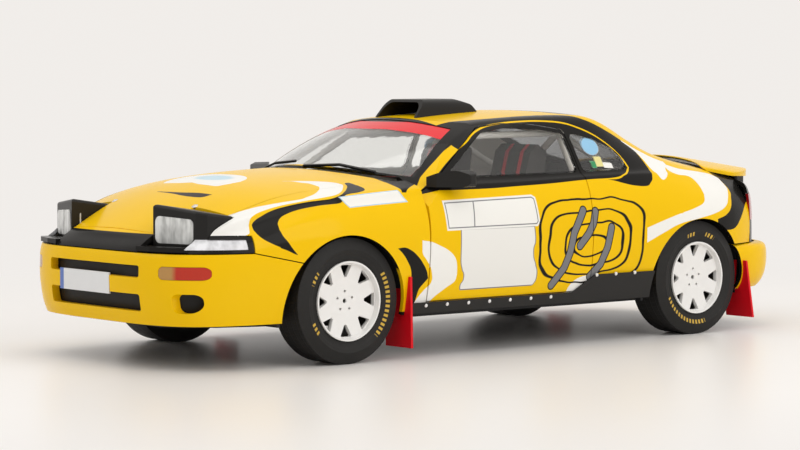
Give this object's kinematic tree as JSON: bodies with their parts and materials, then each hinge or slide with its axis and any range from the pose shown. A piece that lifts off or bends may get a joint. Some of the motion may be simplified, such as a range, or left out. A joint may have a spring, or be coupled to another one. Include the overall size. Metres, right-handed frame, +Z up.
{
  "type": "scale model rally car",
  "caption": "Scale model of a two-door rally coupe with raised headlamps, roof scoop, rear wing, mudflaps, rolling wheels and a steered front axle.",
  "frame": {"origin": "on the ground, under the middle of the model's box", "axes": "+Z up, nose towards -Y, the car's left side towards +X"},
  "size_m": [0.1016, 0.2468, 0.0739],
  "materials": {
    "body_paint": "gloss",
    "black_trim": "satin",
    "window_glass": "clear",
    "clear_lens": "ribbed",
    "red_lens": "gloss",
    "orange_lens": "gloss",
    "plate_blank": "satin",
    "red_flap": "satin",
    "guard_grey": "satin",
    "chassis_black": "matt",
    "metal": "satin",
    "interior_black": "matt",
    "cage_grey": "satin",
    "white_rim": "gloss",
    "tyre": "matt"
  },
  "bodies": {
    "body": {"nose_panel": "body_paint", "front_bumper": "body_paint", "fender_left": "body_paint", "fender_right": "body_paint", "bonnet": "body_paint", "door_left": "body_paint", "door_right": "body_paint", "body_shell": "body_paint", "rear_bumper": "body_paint", "rear_wing": "body_paint", "roof_scoop": "body_paint", "tail_panel": "black_trim", "hatch": "black_trim", "cowl_panel": "black_trim", "wing_feet": "black_trim", "headlamp_pods": "black_trim", "grille_mesh": "black_trim", "mirrors": "black_trim", "wipers": "black_trim", "windscreen": "window_glass", "rear_window": "window_glass", "side_windows_left": "window_glass", "side_windows_right": "window_glass", "headlamp_lenses": "clear_lens", "side_lamps": "clear_lens", "tail_lamps": "red_lens", "indicators": "orange_lens", "number_plates": "plate_blank", "front_mudflaps": "red_flap", "rear_mudflaps": "red_flap", "sill_guards": "guard_grey", "chassis": "chassis_black", "rear_axle": "metal", "exhaust": "metal", "cabin_tub": "interior_black", "dashboard": "interior_black", "seats": "interior_black", "steering_wheel": "interior_black", "roll_cage": "cage_grey"},
    "knuckle_left": {"knuckle_left": "metal"},
    "knuckle_right": {"knuckle_right": "metal"},
    "tie_rod": {"tie_rod": "metal"},
    "wheel_front_left": {"tyre_front_left": "tyre", "rim_front_left": "white_rim"},
    "wheel_front_right": {"tyre_front_right": "tyre", "rim_front_right": "white_rim"},
    "wheel_rear_left": {"tyre_rear_left": "tyre", "rim_rear_left": "white_rim"},
    "wheel_rear_right": {"tyre_rear_right": "tyre", "rim_rear_right": "white_rim"}
  },
  "joints": [
    {"name": "steer_left", "type": "hinge", "parent": "body", "child": "knuckle_left", "pos_m": [0.0324, -0.06813, 0.0178], "axis": [0, 0, 1], "range_deg": [-14, 14]},
    {"name": "steer_right", "type": "hinge", "parent": "body", "child": "knuckle_right", "pos_m": [-0.0324, -0.06813, 0.0178], "axis": [0, 0, 1], "range_deg": [-14, 14]},
    {"name": "tie_rod_pivot", "type": "hinge", "parent": "knuckle_left", "child": "tie_rod", "pos_m": [0.0324, -0.06012, 0.01607], "axis": [0, 0, 1], "range_deg": [-14, 14]},
    {"name": "roll_front_left", "type": "hinge", "parent": "knuckle_left", "child": "wheel_front_left", "pos_m": [0.0404, -0.06813, 0.0178], "axis": [1, 0, 0], "continuous": true},
    {"name": "roll_front_right", "type": "hinge", "parent": "knuckle_right", "child": "wheel_front_right", "pos_m": [-0.0404, -0.06813, 0.0178], "axis": [1, 0, 0], "continuous": true},
    {"name": "roll_rear_left", "type": "hinge", "parent": "body", "child": "wheel_rear_left", "pos_m": [0.0404, 0.07218, 0.0178], "axis": [1, 0, 0], "continuous": true},
    {"name": "roll_rear_right", "type": "hinge", "parent": "body", "child": "wheel_rear_right", "pos_m": [-0.0404, 0.07218, 0.0178], "axis": [1, 0, 0], "continuous": true}
  ],
  "couplings": [
    {"joint": "steer_right", "follows": "steer_left", "ratio": 1},
    {"joint": "tie_rod_pivot", "follows": "steer_left", "ratio": -1}
  ]
}
